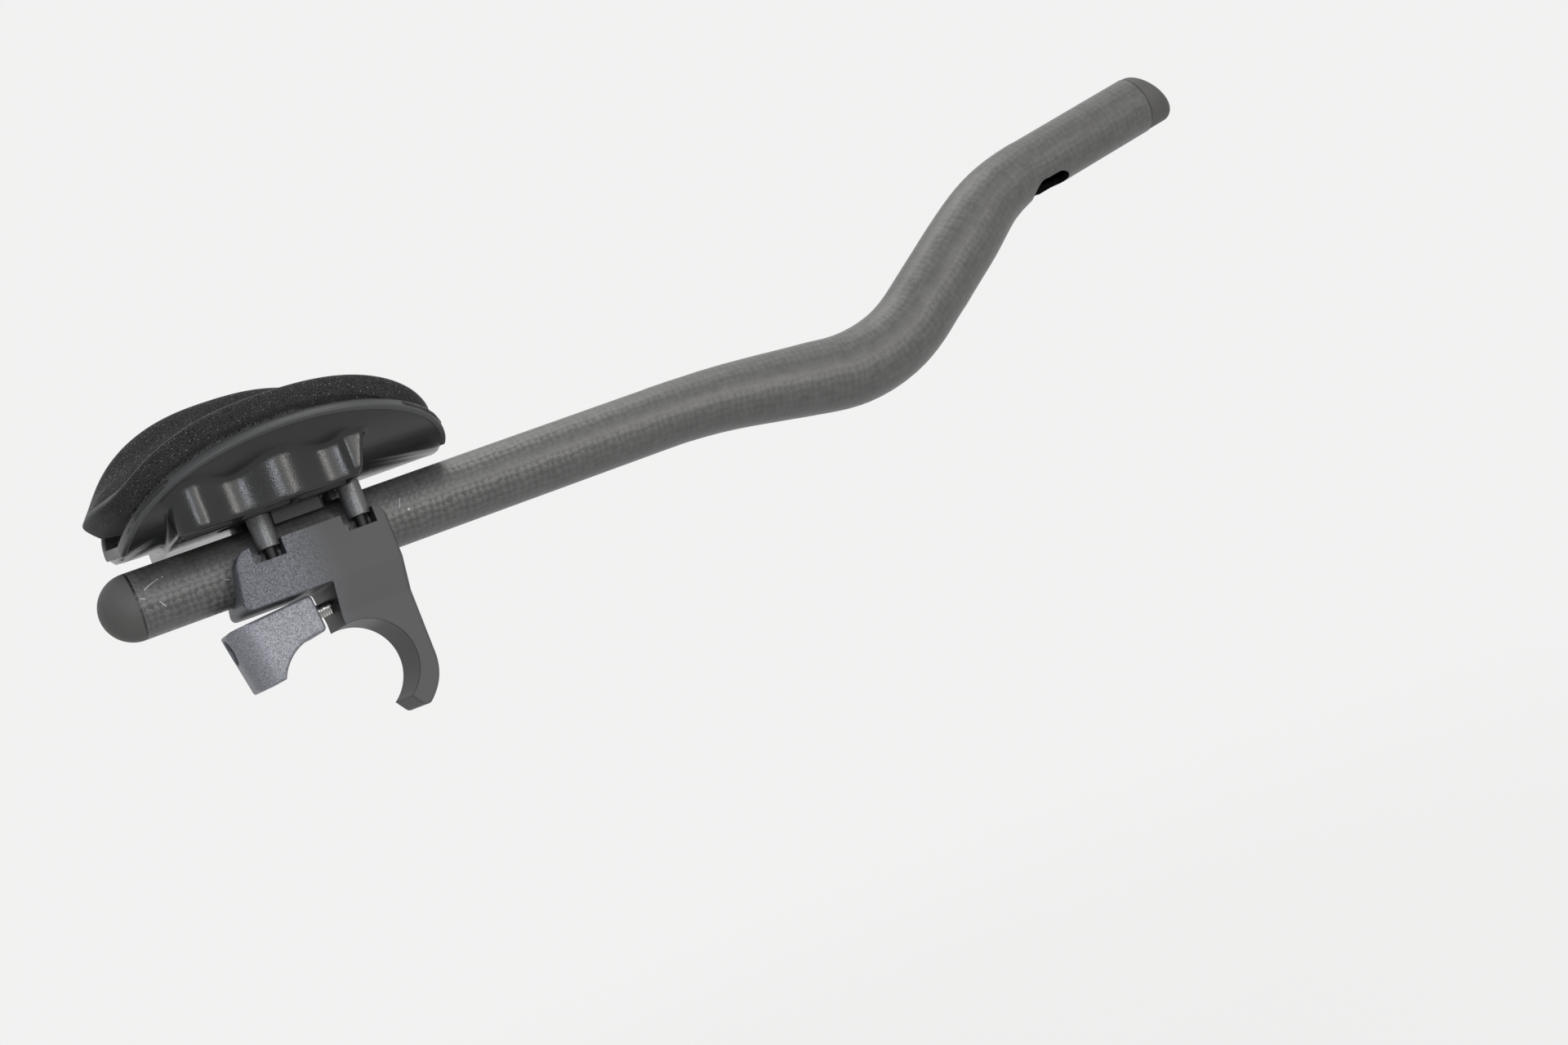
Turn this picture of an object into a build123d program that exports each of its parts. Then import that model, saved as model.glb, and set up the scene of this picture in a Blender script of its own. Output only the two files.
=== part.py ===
from build123d import *
import math
import os

# Clip-on aero handlebar extension with an armrest, for the left side of a handlebar.
# X points forward along the extension, Y to the rider's left and Z up, in millimetres.
# The origin is on the axis of the handlebar that the bracket clamps, in the bracket's middle.

# Handlebar clamp
bar_diameter = 31.8
jaw_wrap = 55.0  # degrees that the fixed jaw reaches below the bar's middle
fixed_jaw_wall = 6.4
notch_face = -2.6  # the flat of the fixed jaw that the loose jaw closes on
clamp_width = 26.0
lip_round = 2.0

# Extension tube: straight tail, slight dip, rise and tip
tube_diameter = 22.2
tube_wall = 2.0
tube_height = 45.0  # tube axis above the bar axis
tube_tail = 60.5  # rear rim behind the bar axis
straight_length = 207.0
dip_length = 71.5
rise_length = 83.5
tip_length = 70.3
dip_angle = 7.3
rise_angle = 34.6
tip_angle = 10.4
dip_radius = 280.0
elbow_radius = 60.0
wrist_radius = 65.0
grip_height = 27.2
grip_width = 25.4
grip_lead = 3.0  # straight tube left between a bend and the end of the grip
grip_fade = 30.0  # how far before the wrist the grip starts to slim down
grip_sections = 20
cable_slot_length = 18.5
cable_slot_width = 12.5
cable_slot_inset = 51.8  # middle of the slot behind the front rim
cable_slot_turn = 16.0  # degrees from the underside towards the rider's right
slide_clearance = 0.05

# End plugs
plug_grip = 14.0
plug_lead = 1.0
plug_clearance = 0.1
plug_step = 0.3  # how far the bung stays inside the tube's skin
bung_height = 13.0
bung_slant = 24.0  # the end face leans back towards the top
bung_round = 2.5

# Bracket
bracket_rear = -32.0
bracket_rise = 3.8  # top edge above the tube axis
saddle_floor = 3.8  # under the tube
bracket_side = 4.0  # outside the bolt axes
waist_drop = 11.0  # height over which the sides draw in to the clamp
bracket_round = 6.5
rear_slant = 3.0
heel_round = 2.5
notch_round = 0.8
front_edge_round = 4.5
rear_edge_round = 3.0
rear_left_round = 9.0  # the rear corner on the rider's left
pocket_drop = 1.8  # pocket floor below the tube axis
pocket_length = 10.6
pocket_shift = -1.4

# Armrest bolts, washers and sleeves
bolt_spacing = 30.8
bolt_middle = -1.5
bolt_diameter = 4.0
bolt_length = 30.0
bolt_clearance = 0.2
thread_depth = 11.5
thread_clearance = 0.05
head_diameter = 7.0
head_height = 2.2
head_round = 0.9
head_key = 2.5
key_depth = 1.3
tip_chamfer = 0.5
washer_diameter = 8.4
washer_thickness = 0.8
washer_clearance = 0.2
sleeve_diameter = 7.6
sleeve_gap = 0.3  # between a sleeve and the tube
sleeve_lift = 2.0  # sleeve's lower end above the tube axis
sleeve_seat = 1.0
seat_clearance = 0.1

# Tube cap
cap_rear = -12.6
cap_front = 5.2
cap_width = 25.0
cap_bite = 2.4  # how far the cap reaches down beside the tube's crown
cap_recess = 1.5
cap_corner = 0.8

# Armrest cup
cup_rear = -60.2
cup_front = 50.2
cup_wall = 3.0
right_radius = 68.2
left_radius = 52.0  # the left wing is steeper and taller
right_wing = 22.1  # crest of the rim above the trough's underside
left_wing = 39.3
boss_rear = -45.3
boss_front = 15.2
boss_width = 80.0
boss_depth = 2.0  # boss underside below the trough's underside
boss_reach = 25.0  # height of the boss before the trough cuts it
tube_gap = 1.1  # between the tube's crown and the boss
boss_rear_round = 8.0
boss_front_round = 3.0
ridge_rear = -40.0  # middle of the rear ridge between the boss's flutes
ridge_spacing = 31.0
flute_depth = 4.0
flank_steps = 6  # points that shape each wave of the flank
spare_hole_shift = -10.0
head_seat = 2.4  # washer seat above the trough's underside
core_count = 3
core_rib = 2.6
core_margin = 2.4  # between the cores and the washers' pockets
core_wall = 2.2  # between the cores and the deepest part of the flutes
core_depth = 6.4
gusset_length = 9.0
gusset_thickness = 2.4
gusset_start = 1.5

# Arm pad and its hook strips
pad_rear = -66.0
pad_front = 50.0
pad_thickness = 8.0
pad_right_rise = 9.0  # crest of the pad above the crest of the rim
pad_left_rise = 8.5
pad_end = 5.0  # pad's widest level above the trough's underside
strip_thickness = 1.5
strip_gap = 0.05
strip_length = 18.0
strip_half_width = 28.0
strip_rear = -40.0
strip_front = 31.0

# Loose jaw and its bolt
jaw_gap = 6.3
jaw_tilt = 5.0  # the bolt rises forward, so that it draws the jaw up into the notch
jaw_width = 24.0
jaw_length = 29.0
jaw_top = 6.0
jaw_headroom = 1.1
jaw_tongue = 6.7
jaw_tongue_length = 4.4
jaw_toe = 15.2
jaw_rear_slant = 1.8
jaw_rear_round = 9.0
jaw_round = 1.6
jaw_edge = 0.7
jaw_bolt_diameter = 5.0
jaw_bolt_length = 30.0
jaw_thread_depth = 18.0
jaw_head_diameter = 8.5
jaw_head_height = 5.0
jaw_head_chamfer = 0.5
jaw_head_key = 4.0
jaw_key_depth = 2.7
jaw_head_sink = 13.0  # head's seat ahead of the jaw's rear face
jaw_hole_clearance = 0.25

# Worked-out sizes
bar_radius = bar_diameter / 2
bracket_front = bar_radius + fixed_jaw_wall
tube_radius = tube_diameter / 2
bore_radius = tube_radius - tube_wall
groove_radius = tube_radius + slide_clearance
spigot_radius = bore_radius - plug_clearance
bolt_radius = bolt_diameter / 2
bolt_track = tube_radius + sleeve_gap + sleeve_diameter / 2
bolt_places = {
    "rear_right": (bolt_middle - bolt_spacing / 2, -bolt_track),
    "rear_left": (bolt_middle - bolt_spacing / 2, bolt_track),
    "front_right": (bolt_middle + bolt_spacing / 2, -bolt_track),
    "front_left": (bolt_middle + bolt_spacing / 2, bolt_track),
}
bracket_top = tube_height + bracket_rise
bracket_width = 2 * (bolt_track + bracket_side)
notch_ceiling = tube_height - tube_radius - saddle_floor
pocket_floor = tube_height - pocket_drop
boss_bottom = tube_height + tube_radius + tube_gap
cup_bottom = boss_bottom + boss_depth
seat_height = cup_bottom + head_seat
head_bottom = seat_height + washer_thickness
sleeve_top = boss_bottom + sleeve_seat
cap_bottom = tube_height + tube_radius - cap_bite
cap_top = boss_bottom + cap_recess
far_away = 400.0  # longer than anything that a cut has to pass through

os.makedirs("parts", exist_ok=True)


def heading(angle):
    return Vector(math.cos(math.radians(angle)), 0, math.sin(math.radians(angle)))


# The tube's centre line, in the plane through the bracket's middle
rear_rim = Vector(-tube_tail, 0, tube_height)
dip_corner = rear_rim + heading(0) * straight_length
elbow_corner = dip_corner + heading(-dip_angle) * dip_length
wrist_corner = elbow_corner + heading(rise_angle) * rise_length
front_rim = wrist_corner + heading(tip_angle) * tip_length
with BuildLine() as centre_line:
    FilletPolyline(
        rear_rim,
        dip_corner,
        elbow_corner,
        wrist_corner,
        front_rim,
        radius=[dip_radius, elbow_radius, wrist_radius],
    )
route = centre_line.wire()

# The grip is the swelling stretch between the round tail and the round tip
dip_tangent = dip_radius * math.tan(math.radians(dip_angle / 2))
wrist_tangent = wrist_radius * math.tan(math.radians((rise_angle - tip_angle) / 2))
grip_start = straight_length - dip_tangent - grip_lead
grip_end = route.length - tip_length + wrist_tangent + grip_lead
grip_full = straight_length + dip_length
grip_slims = route.length - tip_length - grip_fade


def swell(distance):
    # Share of the grip's full thickness at a distance along the tube
    if distance < grip_full:
        share = (distance - grip_start) / (grip_full - grip_start)
    elif distance > grip_slims:
        share = (grip_end - distance) / (grip_end - grip_slims)
    else:
        share = 1.0
    return (1 - math.cos(math.pi * share)) / 2


def cross_plane(distance):
    place = route.position_at(distance, position_mode=PositionMode.LENGTH)
    ahead = route.tangent_at(distance, position_mode=PositionMode.LENGTH)
    return Plane(origin=place, x_dir=(0, 1, 0), z_dir=ahead)


def tube_form(inset):
    # The tube as a filled form, smaller all round by the inset
    with BuildPart() as form:
        with BuildSketch(cross_plane(0)):
            Circle(tube_radius - inset)
        extrude(amount=grip_start)
        for index in range(grip_sections + 1):
            distance = grip_start + (grip_end - grip_start) * index / grip_sections
            extra = swell(distance)
            half_width = tube_radius + (grip_width / 2 - tube_radius) * extra - inset
            half_height = tube_radius + (grip_height / 2 - tube_radius) * extra - inset
            with BuildSketch(cross_plane(distance)):
                if index in (0, grip_sections):
                    Circle(half_width)
                else:
                    Ellipse(half_width, half_height)
        loft()
        with BuildSketch(cross_plane(grip_end)):
            Circle(tube_radius - inset)
        extrude(amount=route.length - grip_end)
    return form.part


tube_skin = tube_form(0)
tube_hollow = tube_form(tube_wall)
slot_turn = math.radians(cable_slot_turn)
slot_plane = Plane(
    origin=front_rim - heading(tip_angle) * cable_slot_inset,
    x_dir=heading(tip_angle),
    z_dir=heading(tip_angle - 90) * math.cos(slot_turn) - Vector(0, math.sin(slot_turn), 0),
)
with BuildPart() as extension_tube:
    add(tube_skin)
    add(tube_hollow, mode=Mode.SUBTRACT)
    with BuildSketch(slot_plane):
        SlotOverall(cable_slot_length, cable_slot_width)
    extrude(amount=tube_diameter, mode=Mode.SUBTRACT)
extension_tube.part.label = "extension_tube"
export_step(extension_tube.part, "parts/extension_tube.step")

# Rear plug: a dome with a spigot that is pressed into the tube
with BuildPart() as rear_plug:
    with BuildSketch(Plane(origin=rear_rim, x_dir=(1, 0, 0), z_dir=(0, -1, 0))):
        with BuildLine():
            dome = CenterArc((0, 0), tube_radius, 90, 90)
            Polyline(
                dome @ 1,
                (plug_grip, 0),
                (plug_grip, spigot_radius - plug_lead),
                (plug_grip - plug_lead, spigot_radius),
                (0, spigot_radius),
                dome @ 0,
            )
        make_face()
    revolve(axis=Axis(rear_rim, (1, 0, 0)))
rear_plug.part.label = "rear_plug"
export_step(rear_plug.part, "parts/rear_plug.step")

# Front plug: a bung with a slanted end face
rim_plane = Plane(origin=front_rim, x_dir=(0, 1, 0), z_dir=heading(tip_angle))
bung_radius = tube_radius - plug_step
bung_toe = front_rim + heading(tip_angle) * bung_height + heading(tip_angle - 90) * bung_radius
slant_plane = Plane(origin=bung_toe, x_dir=(0, 1, 0), z_dir=heading(tip_angle + bung_slant))
with BuildPart() as front_plug:
    with BuildSketch(rim_plane):
        Circle(bung_radius)
    extrude(amount=bung_height)
    split(bisect_by=slant_plane, keep=Keep.BOTTOM)
    fillet(front_plug.faces().sort_by(Axis(front_rim, slant_plane.z_dir))[-1].edges(), bung_round)
    with BuildSketch(rim_plane):
        Circle(spigot_radius)
    extrude(amount=-plug_grip)
    chamfer(front_plug.edges().sort_by(Axis(front_rim, heading(tip_angle)))[0], plug_lead)
front_plug.part.label = "front_plug"
export_step(front_plug.part, "parts/front_plug.step")

# The loose jaw's frame: x forward along its bolt from the face by the notch, y up
jaw_frame = Plane(
    origin=(notch_face - jaw_gap, 0, notch_ceiling - jaw_headroom - jaw_top),
    x_dir=heading(jaw_tilt),
    z_dir=(0, -1, 0),
)
bolt_plane = Plane(origin=jaw_frame.origin, x_dir=(0, 1, 0), z_dir=heading(jaw_tilt))
head_plane = bolt_plane.offset(jaw_head_sink - jaw_length)

# Bracket: saddle for the tube above, fixed jaw for the bar below
lip = heading(-jaw_wrap) * bracket_front
top_rear = (bracket_rear + rear_slant, bracket_top)
heel = (bracket_rear, notch_ceiling)
waist = notch_ceiling - waist_drop
with BuildPart() as bracket_envelope:
    for level, rear, width in [
        (bracket_top, bracket_rear + rear_slant, bracket_width),
        (notch_ceiling, bracket_rear, bracket_width),
        (waist, bracket_rear, clamp_width),
        (-bracket_front, bracket_rear, clamp_width),
    ]:
        with BuildSketch(Plane.XY.offset(level)) as section:
            with Locations((bracket_front, 0)):
                Rectangle(bracket_front - rear, width, align=(Align.MAX, Align.CENTER))
            fillet(section.vertices().sort_by_distance((rear, -width / 2))[0], rear_edge_round)
            fillet(section.vertices().sort_by_distance((rear, width / 2))[0], rear_left_round)
            fillet(section.vertices().group_by(Axis.X)[-1], front_edge_round)
    loft(ruled=True)
with BuildPart() as bracket:
    with BuildSketch(Plane.XZ) as side:
        with BuildLine():
            Polyline(
                (bracket_front, 0),
                (bracket_front, bracket_top),
                top_rear,
                heel,
                (notch_face, notch_ceiling),
                (notch_face, 0),
                (0, 0),
                (lip.X, lip.Z),
            )
            CenterArc((0, 0), bracket_front, -jaw_wrap, jaw_wrap)
        make_face()
        for corner in [(bracket_front, bracket_top), top_rear]:
            fillet(side.vertices().sort_by_distance(corner)[0], bracket_round)
        fillet(side.vertices().sort_by_distance(heel)[0], heel_round)
        fillet(side.vertices().sort_by_distance((notch_face, notch_ceiling))[0], notch_round)
        fillet(side.vertices().sort_by_distance((lip.X, lip.Z))[0], lip_round)
        Circle(bar_radius, mode=Mode.SUBTRACT)
    extrude(amount=bracket_width / 2, both=True)
    add(bracket_envelope.part, mode=Mode.INTERSECT)
    with BuildSketch(Plane.YZ):
        with Locations((0, tube_height)):
            Circle(groove_radius)
            Rectangle(2 * groove_radius, far_away, align=(Align.CENTER, Align.MIN))
    extrude(amount=far_away, both=True, mode=Mode.SUBTRACT)
    with Locations([(x + pocket_shift, 0, pocket_floor) for x, y in bolt_places.values() if y > 0]):
        Box(
            pocket_length,
            far_away,
            far_away,
            align=(Align.CENTER, Align.CENTER, Align.MIN),
            mode=Mode.SUBTRACT,
        )
    with Locations([(x, y, pocket_floor) for x, y in bolt_places.values()]):
        Hole(bolt_radius + thread_clearance, depth=thread_depth)
    with BuildSketch(bolt_plane):
        Circle(jaw_bolt_diameter / 2 + thread_clearance)
    extrude(amount=jaw_gap + jaw_thread_depth, mode=Mode.SUBTRACT)
bracket.part.label = "bracket"
export_step(bracket.part, "parts/bracket.step")

# Tube cap: a plate let into the armrest, which presses on the tube's crown
with BuildPart() as tube_cap:
    with Locations(((cap_rear + cap_front) / 2, 0, cap_bottom)):
        Box(
            cap_front - cap_rear,
            cap_width,
            cap_top - cap_bottom,
            align=(Align.CENTER, Align.CENTER, Align.MIN),
        )
    chamfer(tube_cap.edges().filter_by(Axis.Z), cap_corner)
    with BuildSketch(Plane.YZ):
        with Locations((0, tube_height)):
            Circle(groove_radius)
    extrude(amount=far_away, both=True, mode=Mode.SUBTRACT)
tube_cap.part.label = "tube_cap"
export_step(tube_cap.part, "parts/tube_cap.step")

# Loose jaw: a tongue that goes up into the notch, and a toe behind the bar
tongue_tip = (0, jaw_top)
tongue_foot = (0, -jaw_tongue)
toe_heel = (jaw_rear_slant - jaw_length, -jaw_toe)
jaw_back = (-jaw_length, jaw_top)
jaw_rear = jaw_frame.from_local_coords(Vector(*jaw_back))
jaw_rear_plane = Plane(
    origin=jaw_rear,
    x_dir=(0, 1, 0),
    z_dir=jaw_rear - jaw_frame.from_local_coords(Vector(*toe_heel)),
)
with BuildPart() as clamp_jaw:
    with BuildSketch(jaw_frame) as profile:
        with BuildLine():
            Polyline(
                tongue_tip,
                tongue_foot,
                (-jaw_tongue_length, -jaw_tongue),
                (-jaw_tongue_length, -jaw_toe),
                toe_heel,
                jaw_back,
                close=True,
            )
        make_face()
        for corner in [tongue_tip, tongue_foot, toe_heel, jaw_back]:
            fillet(profile.vertices().sort_by_distance(corner)[0], jaw_round)
        with Locations((-jaw_tongue_length, -jaw_tongue - bar_radius)):
            Circle(bar_radius, mode=Mode.SUBTRACT)
    extrude(amount=jaw_width / 2, both=True)
    for cheek in (clamp_jaw.faces().sort_by(Axis.Y)[0], clamp_jaw.faces().sort_by(Axis.Y)[-1]):
        chamfer(cheek.edges(), jaw_edge)
    with BuildSketch(jaw_rear_plane) as plan:
        Rectangle(jaw_width, 2 * jaw_length, align=(Align.CENTER, Align.MAX))
        fillet(plan.vertices().group_by(Axis.Y)[-1], jaw_rear_round)
    extrude(amount=far_away, both=True, mode=Mode.INTERSECT)
    with BuildSketch(bolt_plane):
        Circle(jaw_bolt_diameter / 2 + jaw_hole_clearance)
    extrude(amount=-far_away, mode=Mode.SUBTRACT)
    with BuildSketch(head_plane):
        Circle(jaw_head_diameter / 2 + jaw_hole_clearance)
    extrude(amount=-far_away, mode=Mode.SUBTRACT)
clamp_jaw.part.label = "clamp_jaw"
export_step(clamp_jaw.part, "parts/clamp_jaw.step")

# Jaw bolt: a socket-head screw from the jaw's rear face into the bracket
with BuildPart() as jaw_bolt:
    with BuildSketch(head_plane):
        Circle(jaw_head_diameter / 2)
    extrude(amount=-jaw_head_height)
    chamfer(jaw_bolt.edges().filter_by(GeomType.CIRCLE).sort_by(Axis.X)[0], jaw_head_chamfer)
    with BuildSketch(head_plane):
        Circle(jaw_bolt_diameter / 2)
    extrude(amount=jaw_bolt_length)
    chamfer(jaw_bolt.edges().filter_by(GeomType.CIRCLE).sort_by(Axis.X)[-1], tip_chamfer)
    with BuildSketch(head_plane.offset(-jaw_head_height)):
        RegularPolygon(jaw_head_key / 2, 6, major_radius=False)
    extrude(amount=jaw_key_depth, mode=Mode.SUBTRACT)
jaw_bolt.part.label = "jaw_bolt"
export_step(jaw_bolt.part, "parts/jaw_bolt.step")


def trough_arcs(inset, right_sweep, left_sweep):
    # Two arcs that meet at the bottom of the trough, from the right wing to the left one
    right = CenterArc((0, cup_bottom + right_radius), right_radius - inset, 270 - right_sweep, right_sweep)
    left = CenterArc((0, cup_bottom + left_radius), left_radius - inset, 270, left_sweep)
    return right, left


right_limit = 60.0  # degrees of trough that reach past the rim on either side
left_limit = 86.0


def trough_space(start, inset):
    # The space above a trough surface, as an outline across the cup
    with BuildSketch(Plane.YZ.offset(start)) as space:
        with BuildLine():
            right, left = trough_arcs(inset, right_limit, left_limit)
            sky = cup_bottom + right_radius
            Polyline(left @ 1, ((left @ 1).X, sky), ((right @ 0).X, sky), right @ 0)
        make_face()
    return space.sketch


def trough_band(start, low, high, right_sweep, left_sweep):
    # A layer that lies in the trough, between two depths measured from its underside
    with BuildSketch(Plane.YZ.offset(start)) as band:
        with BuildLine():
            right_low, left_low = trough_arcs(low, right_sweep, left_sweep)
            right_high, left_high = trough_arcs(high, right_sweep, left_sweep)
            Line(right_low @ 0, right_high @ 0)
            Line(left_low @ 1, left_high @ 1)
        make_face()
    return band.sketch


def above_rim(rear, front, level, crest):
    # The space above a rim that rises along half an ellipse, seen from the side
    with BuildSketch(Plane.XZ) as space:
        with Locations(((rear + front) / 2, level)):
            Rectangle(2 * far_away, far_away, align=(Align.CENTER, Align.MIN))
            Ellipse((front - rear) / 2, crest - level, mode=Mode.SUBTRACT)
    return space.sketch


def flank(side):
    # The boss's wavy flank from rear to front, with a ridge at each crest of the wave
    steps = round((boss_front - boss_rear) / ridge_spacing * flank_steps)
    waves = []
    for index in range(steps + 1):
        x = boss_rear + (boss_front - boss_rear) * index / steps
        turn = 2 * math.pi * (x - ridge_rear) / ridge_spacing
        waves.append((x, side * (boss_width / 2 - flute_depth * (1 - math.cos(turn)) / 2)))
    return waves


washer_pocket = washer_diameter / 2 + washer_clearance
core_inner = bolt_track + washer_pocket + core_margin
core_outer = boss_width / 2 - flute_depth - core_wall
core_length = (boss_front - boss_rear - core_rib * (core_count + 1)) / core_count
hole_places = list(bolt_places.values())
spare_places = [(x + spare_hole_shift, y) for x, y in hole_places]

# Armrest cup: a trough with a fluted boss moulded under it
with BuildPart() as armrest_cup:
    extrude(trough_space(cup_rear, 0), amount=cup_front - cup_rear)
    with BuildSketch(Plane.XY.offset(boss_bottom)) as boss:
        with BuildLine():
            right_flank = Spline(*flank(-1))
            left_flank = Spline(*flank(1))
            Line(right_flank @ 0, left_flank @ 0)
            Line(right_flank @ 1, left_flank @ 1)
        make_face()
        fillet(boss.vertices().group_by(Axis.X)[0], boss_rear_round)
        fillet(boss.vertices().group_by(Axis.X)[-1], boss_front_round)
    extrude(amount=boss_reach)
    gusset_side = boss_width / 2 - flute_depth / 2
    for edge_y in (gusset_thickness - gusset_side, gusset_side):
        with BuildSketch(Plane.XZ.offset(-edge_y)):
            with BuildLine():
                Polyline(
                    (boss_front - boss_front_round, boss_bottom + gusset_start),
                    (boss_front, boss_bottom + gusset_start),
                    (boss_front + gusset_length, boss_bottom + boss_reach),
                    (boss_front - boss_front_round, boss_bottom + boss_reach),
                    close=True,
                )
            make_face()
        extrude(amount=gusset_thickness)
    extrude(trough_space(cup_rear - cup_wall, cup_wall), amount=far_away, mode=Mode.SUBTRACT)
    right_rim = above_rim(cup_rear, cup_front, cup_bottom, cup_bottom + right_wing)
    left_rim = above_rim(cup_rear, cup_front, cup_bottom, cup_bottom + left_wing)
    extrude(right_rim, amount=far_away, mode=Mode.SUBTRACT)
    extrude(left_rim, amount=-far_away, mode=Mode.SUBTRACT)
    with BuildSketch(Plane.XY.offset(boss_bottom)):
        for index in range(core_count):
            core_x = boss_rear + core_rib + core_length / 2 + index * (core_length + core_rib)
            core_y = (core_inner + core_outer) / 2
            with Locations((core_x, -core_y), (core_x, core_y)):
                Rectangle(core_length, core_outer - core_inner)
    extrude(amount=core_depth, mode=Mode.SUBTRACT)
    with Locations(((cap_rear + cap_front) / 2, 0, boss_bottom)):
        Box(
            cap_front - cap_rear + 2 * seat_clearance,
            cap_width + 2 * seat_clearance,
            cap_recess,
            align=(Align.CENTER, Align.CENTER, Align.MIN),
            mode=Mode.SUBTRACT,
        )
    with BuildSketch(Plane.XY.offset(boss_bottom)):
        with Locations(hole_places + spare_places):
            Circle(bolt_radius + bolt_clearance)
    extrude(amount=boss_reach, mode=Mode.SUBTRACT)
    with BuildSketch(Plane.XY.offset(seat_height)):
        with Locations(hole_places + spare_places):
            Circle(washer_pocket)
    extrude(amount=boss_reach, mode=Mode.SUBTRACT)
    with BuildSketch(Plane.XY.offset(boss_bottom)):
        with Locations(hole_places):
            Circle(sleeve_diameter / 2 + seat_clearance)
    extrude(amount=sleeve_seat, mode=Mode.SUBTRACT)
armrest_cup.part.label = "armrest_cup"
export_step(armrest_cup.part, "parts/armrest_cup.step")

# Hook strips between the cup and the pad
strip_low = cup_wall + strip_gap
strip_high = strip_low + strip_thickness
right_strip = math.degrees(math.asin(strip_half_width / (right_radius - strip_low)))
left_strip = math.degrees(math.asin(strip_half_width / (left_radius - strip_low)))
for place, middle in {"rear": strip_rear, "front": strip_front}.items():
    strip_start = middle - strip_length / 2
    with BuildPart() as hook_strip:
        extrude(
            trough_band(strip_start, strip_low, strip_high, right_strip, left_strip),
            amount=strip_length,
        )
    hook_strip.part.label = f"hook_strip_{place}"
    export_step(hook_strip.part, f"parts/hook_strip_{place}.step")

# Arm pad: a thick layer in the trough that stands proud of the rim
pad_low = strip_high + strip_gap
pad_level = cup_bottom + pad_end
with BuildPart() as arm_pad:
    extrude(
        trough_band(pad_rear, pad_low, pad_low + pad_thickness, right_limit, left_limit),
        amount=pad_front - pad_rear,
    )
    right_edge = above_rim(pad_rear, pad_front, pad_level, cup_bottom + right_wing + pad_right_rise)
    left_edge = above_rim(pad_rear, pad_front, pad_level, cup_bottom + left_wing + pad_left_rise)
    extrude(right_edge, amount=far_away, mode=Mode.SUBTRACT)
    extrude(left_edge, amount=-far_away, mode=Mode.SUBTRACT)
arm_pad.part.label = "arm_pad"
export_step(arm_pad.part, "parts/arm_pad.step")

# Sleeves, bolts and washers at the four corners
for place, (x, y) in bolt_places.items():
    with BuildPart() as sleeve:
        with BuildSketch(Plane.XY.offset(tube_height + sleeve_lift)):
            with Locations((x, y)):
                Circle(sleeve_diameter / 2)
                Circle(bolt_radius + bolt_clearance, mode=Mode.SUBTRACT)
        extrude(amount=sleeve_top - tube_height - sleeve_lift)
    sleeve.part.label = f"sleeve_{place}"
    export_step(sleeve.part, f"parts/sleeve_{place}.step")

    with BuildPart() as washer:
        with BuildSketch(Plane.XY.offset(seat_height)):
            with Locations((x, y)):
                Circle(washer_diameter / 2)
                Circle(bolt_radius + bolt_clearance, mode=Mode.SUBTRACT)
        extrude(amount=washer_thickness)
    washer.part.label = f"washer_{place}"
    export_step(washer.part, f"parts/washer_{place}.step")

    with BuildPart() as bolt:
        with BuildSketch(Plane.XY.offset(head_bottom)):
            with Locations((x, y)):
                Circle(head_diameter / 2)
        extrude(amount=head_height)
        fillet(bolt.edges().filter_by(GeomType.CIRCLE).sort_by(Axis.Z)[-1], head_round)
        with BuildSketch(Plane.XY.offset(head_bottom)):
            with Locations((x, y)):
                Circle(bolt_radius)
        extrude(amount=-bolt_length)
        chamfer(bolt.edges().filter_by(GeomType.CIRCLE).sort_by(Axis.Z)[0], tip_chamfer)
        with BuildSketch(Plane.XY.offset(head_bottom + head_height)):
            with Locations((x, y)):
                RegularPolygon(head_key / 2, 6, major_radius=False)
        extrude(amount=-key_depth, mode=Mode.SUBTRACT)
    bolt.part.label = f"bolt_{place}"
    export_step(bolt.part, f"parts/bolt_{place}.step")
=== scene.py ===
import math
import bmesh
import bpy
import numpy as np
from mathutils import Matrix, Vector


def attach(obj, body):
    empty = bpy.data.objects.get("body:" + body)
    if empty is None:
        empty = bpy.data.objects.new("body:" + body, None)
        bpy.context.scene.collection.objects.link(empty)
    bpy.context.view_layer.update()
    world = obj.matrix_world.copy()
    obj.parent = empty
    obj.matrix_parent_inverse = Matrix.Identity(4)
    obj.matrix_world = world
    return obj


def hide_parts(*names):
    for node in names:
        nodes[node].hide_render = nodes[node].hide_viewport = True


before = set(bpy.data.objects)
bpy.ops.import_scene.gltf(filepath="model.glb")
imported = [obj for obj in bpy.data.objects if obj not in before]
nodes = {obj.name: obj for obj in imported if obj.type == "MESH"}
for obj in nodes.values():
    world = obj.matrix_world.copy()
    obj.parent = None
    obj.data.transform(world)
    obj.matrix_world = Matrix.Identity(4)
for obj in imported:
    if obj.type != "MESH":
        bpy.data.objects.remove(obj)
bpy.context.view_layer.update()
scene = bpy.context.scene
scene.view_settings.view_transform = "Standard"
rng = np.random.default_rng(seed=11)
MM = 0.001

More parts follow.
